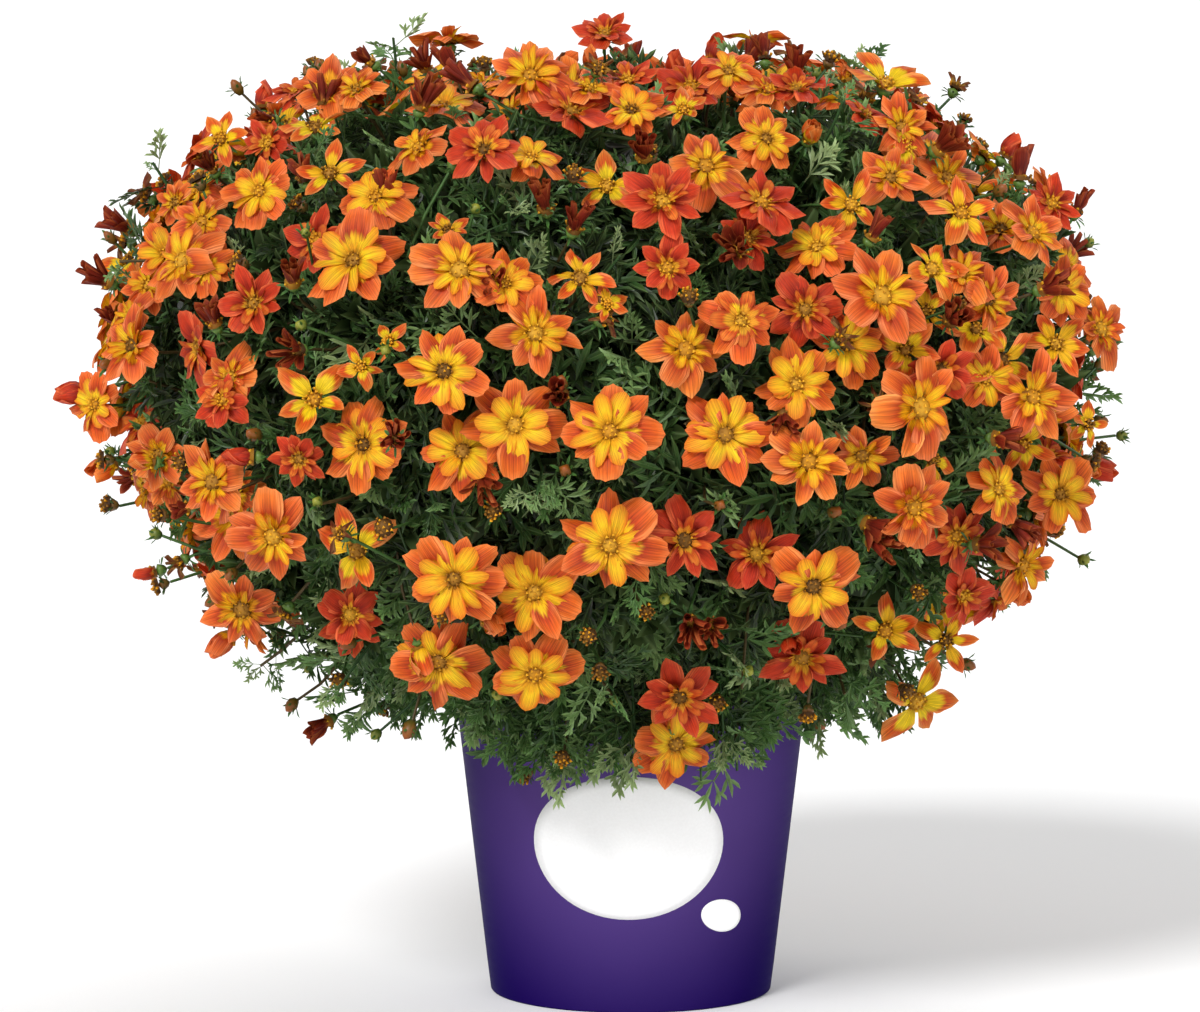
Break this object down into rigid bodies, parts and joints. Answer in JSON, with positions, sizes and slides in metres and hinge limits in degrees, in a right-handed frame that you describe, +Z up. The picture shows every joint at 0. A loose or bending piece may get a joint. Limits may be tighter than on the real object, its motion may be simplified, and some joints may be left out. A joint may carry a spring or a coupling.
{
  "type": "potted bidens",
  "caption": "Round mound of finely cut leaves covered in orange, red and yellow daisy-like flowers, growing in a tapered violet plastic pot.",
  "frame": {"origin": "centre of the pot's flat base, on the floor", "axes": "+Z up along the pot's axis, -Y towards the front that the picture shows, +X to the right in that view"},
  "size_m": [0.4271, 0.4425, 0.4082],
  "materials": {
    "pot": "satin",
    "soil": "matte",
    "stem": "satin",
    "leaf": "matte",
    "petal": "satin"
  },
  "bodies": {
    "root": {"flower_back_01": "petal", "flower_back_02": "petal", "flower_back_03": "petal", "flower_back_04": "petal", "flower_back_05": "petal", "flower_back_06": "petal", "flower_back_07": "petal", "flower_front_01": "petal", "flower_front_02": "petal", "flower_front_03": "petal", "flower_front_04": "petal", "flower_front_05": "petal", "flower_front_06": "petal", "flower_front_07": "petal", "flower_front_08": "petal", "flower_front_09": "petal", "flower_front_10": "petal", "flower_front_11": "petal", "flower_front_12": "petal", "flower_front_13": "petal", "flower_front_14": "petal", "flower_front_15": "petal", "flower_front_16": "petal", "flower_front_17": "petal", "flower_front_18": "petal", "flower_front_19": "petal", "flower_front_20": "petal", "flower_front_21": "petal", "flower_front_22": "petal", "flower_front_23": "petal", "flower_front_24": "petal", "flower_front_25": "petal", "flower_front_26": "petal", "flower_front_27": "petal", "flower_front_28": "petal", "flower_front_29": "petal", "flower_front_30": "petal", "flower_front_31": "petal", "leaves_crown": "leaf", "leaves_side_1": "leaf", "leaves_side_2": "leaf", "leaves_side_3": "leaf", "leaves_side_4": "leaf", "leaves_side_5": "leaf", "leaves_side_6": "leaf", "leaves_skirt_1": "leaf", "leaves_skirt_2": "leaf", "leaves_skirt_3": "leaf", "leaves_skirt_4": "leaf", "leaves_skirt_5": "leaf", "leaves_upper_1": "leaf", "leaves_upper_2": "leaf", "leaves_upper_3": "leaf", "leaves_upper_4": "leaf", "leaves_upper_5": "leaf", "pot": "pot", "potting_soil": "soil", "stems_back": "stem", "stems_left": "stem", "stems_right": "stem"}
  },
  "joints": []
}
